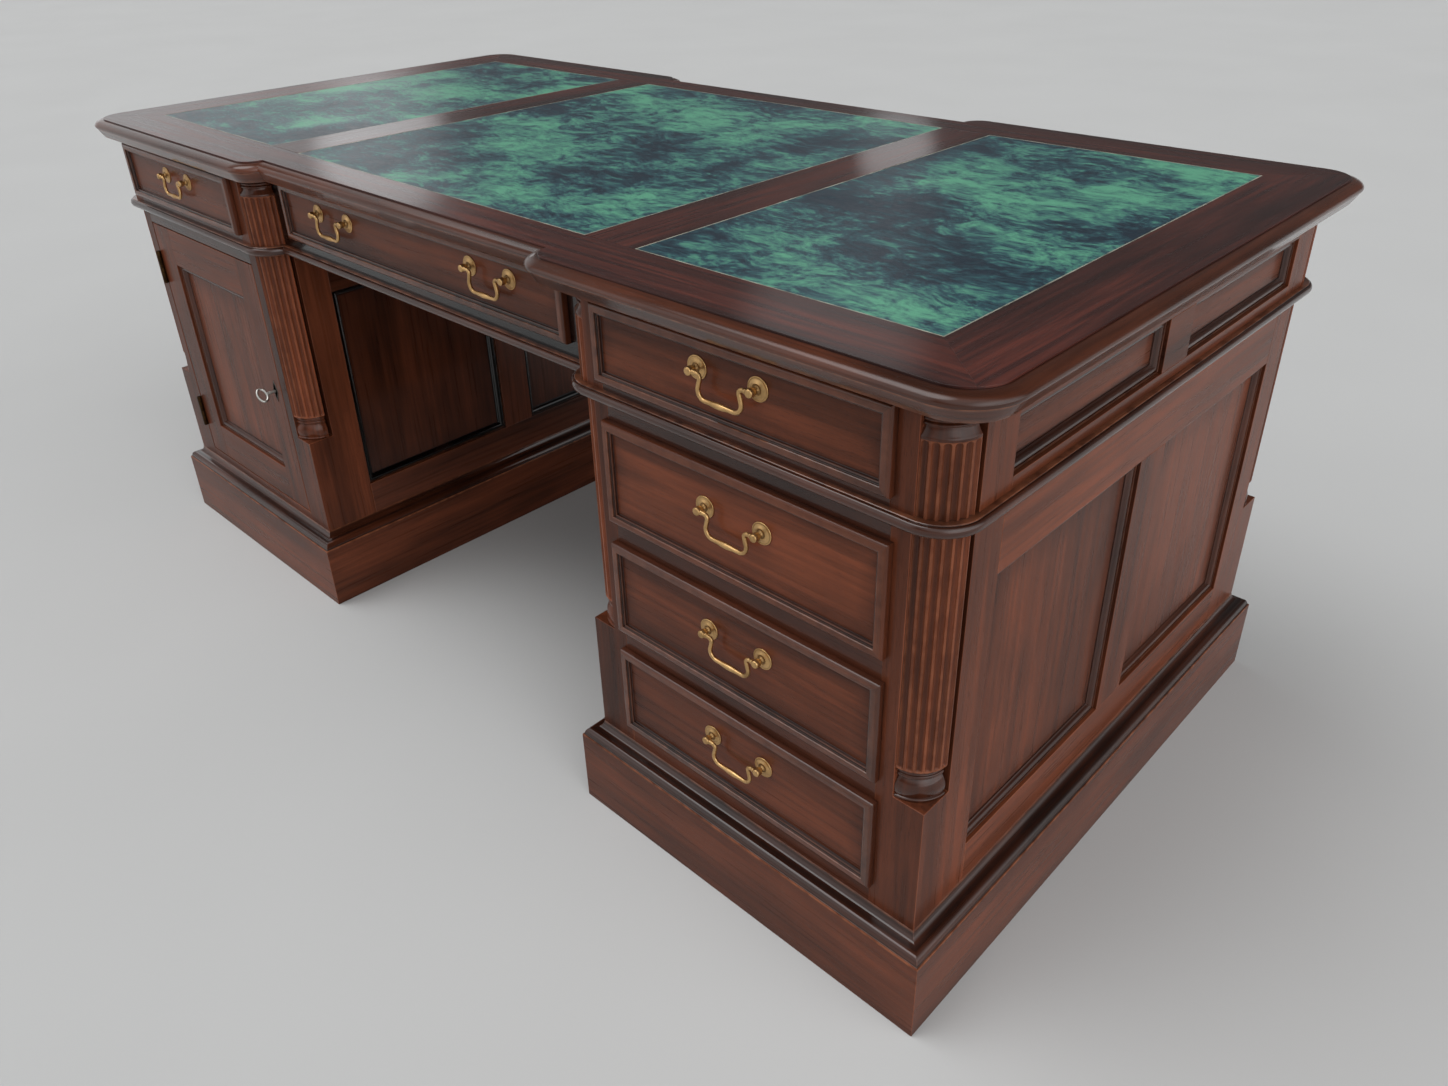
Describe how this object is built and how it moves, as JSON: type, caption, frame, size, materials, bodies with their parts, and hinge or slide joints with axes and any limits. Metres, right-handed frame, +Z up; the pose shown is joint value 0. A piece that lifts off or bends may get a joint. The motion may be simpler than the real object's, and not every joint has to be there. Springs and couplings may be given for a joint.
{
  "type": "partners desk",
  "caption": "Mahogany pedestal partners desk with a breakfront leather-inset top, drawers and a panelled cupboard for a user on each side, and fluted quarter columns.",
  "frame": {"origin": "on the floor under the middle of the desk", "axes": "+X along the desk to the front user's right, -Y towards the front user, +Z up"},
  "size_m": [1.828, 0.9164, 0.78],
  "materials": {
    "mahogany": "polished dark red-brown",
    "leather": "mottled green, satin",
    "brass": "aged, lacquered",
    "steel": "worn steel"
  },
  "bodies": {
    "desk": {"top_frame": "mahogany", "leather_panels": "leather", "frieze_case": "mahogany", "corner_columns": "mahogany", "waist_moulding": "mahogany", "left_pedestal_case": "mahogany", "right_pedestal_case": "mahogany", "side_panels": "mahogany", "plinths": "mahogany", "hinge_plates": "brass"},
    "front_left_frieze_drawer": {"front_left_frieze_drawer": "mahogany", "front_left_frieze_posts": "brass"},
    "front_left_frieze_bail": {"front_left_frieze_bail": "brass"},
    "front_centre_drawer": {"front_centre_drawer": "mahogany", "front_centre_posts": "brass"},
    "front_centre_left_bail": {"front_centre_left_bail": "brass"},
    "front_centre_right_bail": {"front_centre_right_bail": "brass"},
    "front_right_frieze_drawer": {"front_right_frieze_drawer": "mahogany", "front_right_frieze_posts": "brass"},
    "front_right_frieze_bail": {"front_right_frieze_bail": "brass"},
    "front_upper_drawer": {"front_upper_drawer": "mahogany", "front_upper_posts": "brass"},
    "front_upper_bail": {"front_upper_bail": "brass"},
    "front_middle_drawer": {"front_middle_drawer": "mahogany", "front_middle_posts": "brass"},
    "front_middle_bail": {"front_middle_bail": "brass"},
    "front_lower_drawer": {"front_lower_drawer": "mahogany", "front_lower_posts": "brass"},
    "front_lower_bail": {"front_lower_bail": "brass"},
    "front_door": {"front_door_frame": "mahogany", "front_door_panel": "mahogany", "front_door_hinges": "brass", "front_lock": "steel"},
    "front_key": {"front_key": "steel"},
    "front_bolt": {"front_bolt": "steel"},
    "rear_left_frieze_drawer": {"rear_left_frieze_drawer": "mahogany", "rear_left_frieze_posts": "brass"},
    "rear_left_frieze_bail": {"rear_left_frieze_bail": "brass"},
    "rear_centre_drawer": {"rear_centre_drawer": "mahogany", "rear_centre_posts": "brass"},
    "rear_centre_left_bail": {"rear_centre_left_bail": "brass"},
    "rear_centre_right_bail": {"rear_centre_right_bail": "brass"},
    "rear_right_frieze_drawer": {"rear_right_frieze_drawer": "mahogany", "rear_right_frieze_posts": "brass"},
    "rear_right_frieze_bail": {"rear_right_frieze_bail": "brass"},
    "rear_upper_drawer": {"rear_upper_drawer": "mahogany", "rear_upper_posts": "brass"},
    "rear_upper_bail": {"rear_upper_bail": "brass"},
    "rear_middle_drawer": {"rear_middle_drawer": "mahogany", "rear_middle_posts": "brass"},
    "rear_middle_bail": {"rear_middle_bail": "brass"},
    "rear_lower_drawer": {"rear_lower_drawer": "mahogany", "rear_lower_posts": "brass"},
    "rear_lower_bail": {"rear_lower_bail": "brass"},
    "rear_door": {"rear_door_frame": "mahogany", "rear_door_panel": "mahogany", "rear_door_hinges": "brass", "rear_lock": "steel"},
    "rear_key": {"rear_key": "steel"},
    "rear_bolt": {"rear_bolt": "steel"}
  },
  "joints": [
    {"name": "front_left_frieze_drawer_slide", "type": "slide", "parent": "desk", "child": "front_left_frieze_drawer", "axis": [0, -1, 0], "range_m": [0, 0.3]},
    {"name": "front_left_frieze_bail_swing", "type": "hinge", "parent": "front_left_frieze_drawer", "child": "front_left_frieze_bail", "pos_m": [-0.61875, -0.4435, 0.713], "axis": [-1, 0, 0], "range_deg": [0, 100]},
    {"name": "front_centre_drawer_slide", "type": "slide", "parent": "desk", "child": "front_centre_drawer", "axis": [0, -1, 0], "range_m": [0, 0.28]},
    {"name": "front_centre_left_bail_swing", "type": "hinge", "parent": "front_centre_drawer", "child": "front_centre_left_bail", "pos_m": [-0.186, -0.4055, 0.7155], "axis": [-1, 0, 0], "range_deg": [0, 100]},
    {"name": "front_centre_right_bail_swing", "type": "hinge", "parent": "front_centre_drawer", "child": "front_centre_right_bail", "pos_m": [0.186, -0.4055, 0.7155], "axis": [-1, 0, 0], "range_deg": [0, 100]},
    {"name": "front_right_frieze_drawer_slide", "type": "slide", "parent": "desk", "child": "front_right_frieze_drawer", "axis": [0, -1, 0], "range_m": [0, 0.3]},
    {"name": "front_right_frieze_bail_swing", "type": "hinge", "parent": "front_right_frieze_drawer", "child": "front_right_frieze_bail", "pos_m": [0.61875, -0.4435, 0.713], "axis": [-1, 0, 0], "range_deg": [0, 100]},
    {"name": "front_upper_drawer_slide", "type": "slide", "parent": "desk", "child": "front_upper_drawer", "axis": [0, -1, 0], "range_m": [0, 0.3]},
    {"name": "front_upper_bail_swing", "type": "hinge", "parent": "front_upper_drawer", "child": "front_upper_bail", "pos_m": [0.61875, -0.4395, 0.553], "axis": [-1, 0, 0], "range_deg": [0, 100]},
    {"name": "front_middle_drawer_slide", "type": "slide", "parent": "desk", "child": "front_middle_drawer", "axis": [0, -1, 0], "range_m": [0, 0.3]},
    {"name": "front_middle_bail_swing", "type": "hinge", "parent": "front_middle_drawer", "child": "front_middle_bail", "pos_m": [0.61875, -0.4395, 0.394], "axis": [-1, 0, 0], "range_deg": [0, 100]},
    {"name": "front_lower_drawer_slide", "type": "slide", "parent": "desk", "child": "front_lower_drawer", "axis": [0, -1, 0], "range_m": [0, 0.3]},
    {"name": "front_lower_bail_swing", "type": "hinge", "parent": "front_lower_drawer", "child": "front_lower_bail", "pos_m": [0.61875, -0.4395, 0.238], "axis": [-1, 0, 0], "range_deg": [0, 100]},
    {"name": "front_door_swing", "type": "hinge", "parent": "desk", "child": "front_door", "pos_m": [-0.80925, -0.4286, 0.378], "axis": [0, 0, -1], "range_deg": [0, 110]},
    {"name": "front_key_turn", "type": "hinge", "parent": "front_door", "child": "front_key", "pos_m": [-0.45, -0.4245, 0.38], "axis": [0, 1, 0], "range_deg": [0, 180]},
    {"name": "front_bolt_throw", "type": "slide", "parent": "front_door", "child": "front_bolt", "axis": [1, 0, 0], "range_m": [0, 0.00901]},
    {"name": "rear_left_frieze_drawer_slide", "type": "slide", "parent": "desk", "child": "rear_left_frieze_drawer", "axis": [0, 1, 0], "range_m": [0, 0.3]},
    {"name": "rear_left_frieze_bail_swing", "type": "hinge", "parent": "rear_left_frieze_drawer", "child": "rear_left_frieze_bail", "pos_m": [0.61875, 0.4435, 0.713], "axis": [1, 0, 0], "range_deg": [0, 100]},
    {"name": "rear_centre_drawer_slide", "type": "slide", "parent": "desk", "child": "rear_centre_drawer", "axis": [0, 1, 0], "range_m": [0, 0.28]},
    {"name": "rear_centre_left_bail_swing", "type": "hinge", "parent": "rear_centre_drawer", "child": "rear_centre_left_bail", "pos_m": [0.186, 0.4055, 0.7155], "axis": [1, 0, 0], "range_deg": [0, 100]},
    {"name": "rear_centre_right_bail_swing", "type": "hinge", "parent": "rear_centre_drawer", "child": "rear_centre_right_bail", "pos_m": [-0.186, 0.4055, 0.7155], "axis": [1, 0, 0], "range_deg": [0, 100]},
    {"name": "rear_right_frieze_drawer_slide", "type": "slide", "parent": "desk", "child": "rear_right_frieze_drawer", "axis": [0, 1, 0], "range_m": [0, 0.3]},
    {"name": "rear_right_frieze_bail_swing", "type": "hinge", "parent": "rear_right_frieze_drawer", "child": "rear_right_frieze_bail", "pos_m": [-0.61875, 0.4435, 0.713], "axis": [1, 0, 0], "range_deg": [0, 100]},
    {"name": "rear_upper_drawer_slide", "type": "slide", "parent": "desk", "child": "rear_upper_drawer", "axis": [0, 1, 0], "range_m": [0, 0.3]},
    {"name": "rear_upper_bail_swing", "type": "hinge", "parent": "rear_upper_drawer", "child": "rear_upper_bail", "pos_m": [-0.61875, 0.4395, 0.553], "axis": [1, 0, 0], "range_deg": [0, 100]},
    {"name": "rear_middle_drawer_slide", "type": "slide", "parent": "desk", "child": "rear_middle_drawer", "axis": [0, 1, 0], "range_m": [0, 0.3]},
    {"name": "rear_middle_bail_swing", "type": "hinge", "parent": "rear_middle_drawer", "child": "rear_middle_bail", "pos_m": [-0.61875, 0.4395, 0.394], "axis": [1, 0, 0], "range_deg": [0, 100]},
    {"name": "rear_lower_drawer_slide", "type": "slide", "parent": "desk", "child": "rear_lower_drawer", "axis": [0, 1, 0], "range_m": [0, 0.3]},
    {"name": "rear_lower_bail_swing", "type": "hinge", "parent": "rear_lower_drawer", "child": "rear_lower_bail", "pos_m": [-0.61875, 0.4395, 0.238], "axis": [1, 0, 0], "range_deg": [0, 100]},
    {"name": "rear_door_swing", "type": "hinge", "parent": "desk", "child": "rear_door", "pos_m": [0.80925, 0.4286, 0.378], "axis": [0, 0, -1], "range_deg": [0, 110]},
    {"name": "rear_key_turn", "type": "hinge", "parent": "rear_door", "child": "rear_key", "pos_m": [0.45, 0.4245, 0.38], "axis": [0, -1, 0], "range_deg": [0, 180]},
    {"name": "rear_bolt_throw", "type": "slide", "parent": "rear_door", "child": "rear_bolt", "axis": [-1, 0, 0], "range_m": [0, 0.00901]}
  ],
  "couplings": [
    {"joint": "front_bolt_throw", "follows": "front_key_turn", "m_per_rad": 0.0028648},
    {"joint": "rear_bolt_throw", "follows": "rear_key_turn", "m_per_rad": 0.0028648}
  ]
}
